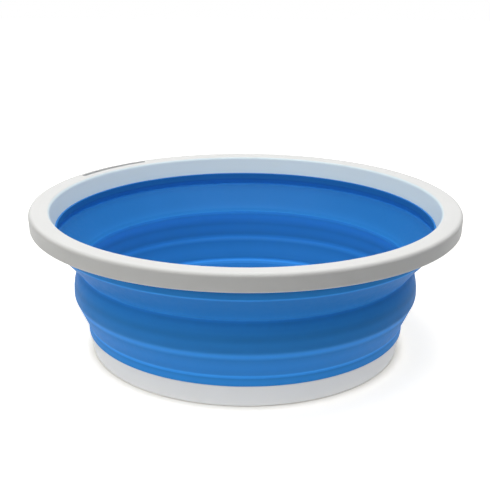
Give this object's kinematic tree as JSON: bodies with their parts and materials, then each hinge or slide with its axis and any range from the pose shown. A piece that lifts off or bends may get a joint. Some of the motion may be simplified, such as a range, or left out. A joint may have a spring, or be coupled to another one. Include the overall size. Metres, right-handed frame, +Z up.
{
  "type": "collapsible washbasin",
  "caption": "Round collapsible camp washbasin: a stiff rim and a stiff base tray joined by a soft wall that folds flat.",
  "frame": {"origin": "where the basin's axis meets the surface that it stands on", "axes": "+Z up along the basin's axis, from the base to the rim; the middle of the rim's hanging slot lies 138 degrees from +X towards +Y, at the back left as seen from -Y"},
  "size_m": [0.3798, 0.3798, 0.1312],
  "materials": {
    "white_plastic": "satin moulded polypropylene",
    "blue_rubber": "soft matte thermoplastic rubber"
  },
  "bodies": {
    "base": {"base_tray": "white_plastic", "wall_bottom_band": "blue_rubber", "wall_lower_fold": "blue_rubber"},
    "middle": {"wall_middle_band": "blue_rubber", "wall_upper_fold": "blue_rubber"},
    "rim": {"rim_ring": "white_plastic", "wall_top_band": "blue_rubber"}
  },
  "joints": [
    {"name": "lower_fold_slide", "type": "slide", "parent": "base", "child": "middle", "axis": [0, 0, 1], "range_m": [-0.041, 0], "deforming": ["wall_lower_fold"]},
    {"name": "upper_fold_slide", "type": "slide", "parent": "middle", "child": "rim", "axis": [0, 0, 1], "range_m": [-0.043, 0], "deforming": ["wall_upper_fold"]}
  ]
}
